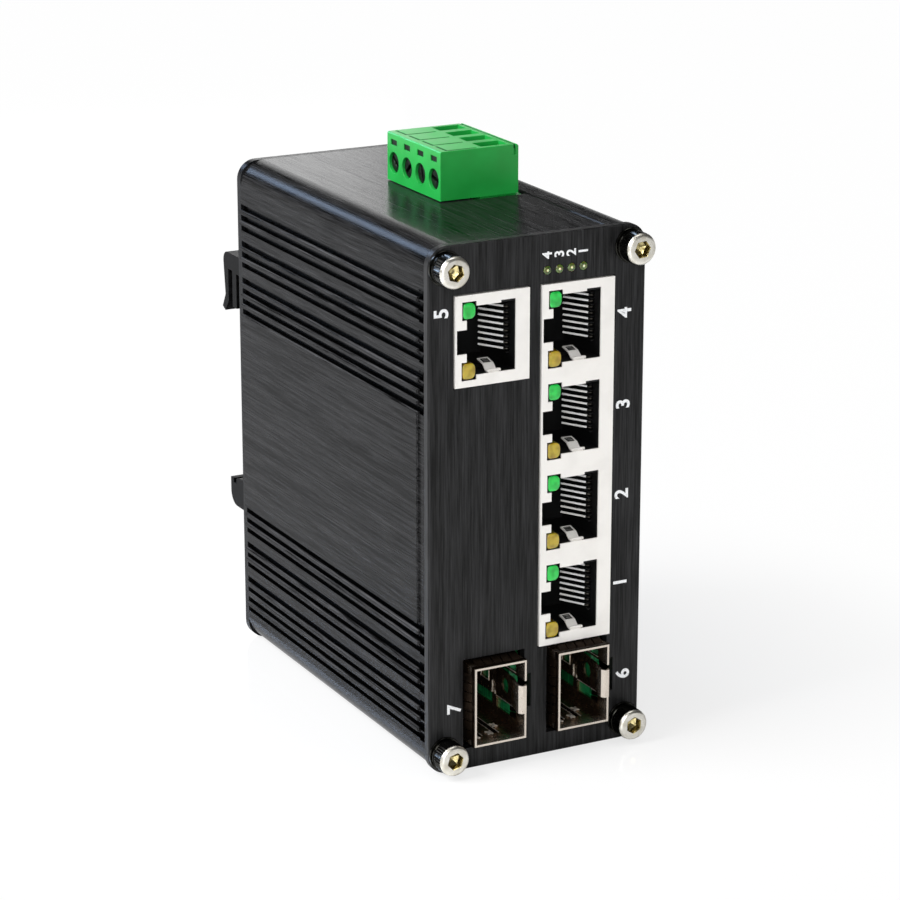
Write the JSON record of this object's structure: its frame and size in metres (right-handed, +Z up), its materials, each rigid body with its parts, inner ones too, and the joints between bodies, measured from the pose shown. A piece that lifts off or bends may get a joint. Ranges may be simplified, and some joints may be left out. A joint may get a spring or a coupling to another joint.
{
  "type": "din rail ethernet switch",
  "caption": "Slim black switch in a ribbed aluminium case for a 35 mm rail, with copper ports, optical module cages, screwed front plate and a plug-in power terminal.",
  "frame": {"origin": "middle of the base: centre of the bounding box in X and Y, bottom in Z", "axes": "+X to the right as one faces the ports, +Y from the ports to the rail, +Z up"},
  "size_m": [0.0412, 0.089, 0.0997],
  "materials": {
    "black_anodised": "black anodised, lightly brushed",
    "plated_steel": "bright zinc plate",
    "black_steel": "black oxide",
    "spring_steel": "drawn wire",
    "board": "green solder mask",
    "black_moulding": "fine matt moulding",
    "tinned_steel": "bright tin plate",
    "gilt_contact": "gold plate",
    "green_lamp": "tinted clear moulding",
    "amber_lamp": "tinted clear moulding",
    "dark_lamp": "tinted clear moulding",
    "cage_steel": "nickel plate over copper alloy",
    "collar_bronze": "dull bronze spring sheet",
    "green_moulding": "satin moulding",
    "tinned_brass": "tin plate",
    "chip_epoxy": "moulded epoxy",
    "can_aluminium": "drawn can",
    "ferrite": "sintered ferrite",
    "can_steel": "drawn can"
  },
  "bodies": {
    "switch": {"finned_shell": "black_anodised", "side_cover": "black_anodised", "front_plate": "black_anodised", "rear_plate": "black_anodised", "rail_bracket": "black_anodised", "front_screws": "plated_steel", "front_lock_washers": "plated_steel", "front_flat_washers": "plated_steel", "rear_screws": "black_steel", "bracket_screws": "black_steel", "main_board": "board", "port_board": "board", "board_link": "black_moulding", "quad_jack_shield": "tinned_steel", "quad_jack_housing": "black_moulding", "quad_jack_contacts": "gilt_contact", "single_jack_shield": "tinned_steel", "single_jack_housing": "black_moulding", "single_jack_contacts": "gilt_contact", "link_lamps": "green_lamp", "speed_lamps": "amber_lamp", "left_cage": "cage_steel", "right_cage": "cage_steel", "left_collar": "collar_bronze", "right_collar": "collar_bronze", "left_cage_socket": "black_moulding", "right_cage_socket": "black_moulding", "status_lamps": "dark_lamp", "status_lamp_holder": "black_moulding", "terminal_header": "green_moulding", "header_pins": "tinned_brass", "switch_chip": "chip_epoxy", "chip_heatsink": "black_anodised", "interface_chip": "chip_epoxy", "network_transformers": "chip_epoxy", "input_capacitors": "can_aluminium", "power_inductor": "ferrite", "clock_crystal": "can_steel"},
    "terminal_plug": {"plug_body": "green_moulding", "plug_clamps": "plated_steel", "plug_screws": "plated_steel", "plug_contacts": "tinned_brass"},
    "bowed_spring": {"rail_spring": "spring_steel"}
  },
  "joints": [
    {"name": "terminal_plug_pull", "type": "slide", "parent": "switch", "child": "terminal_plug", "axis": [0, 0, 1], "range_m": [0, 0.02]},
    {"name": "rail_spring_press", "type": "slide", "parent": "switch", "child": "bowed_spring", "axis": [0, 0, 1], "range_m": [0, 0.0024], "stiffness_N_per_m": 1500}
  ]
}
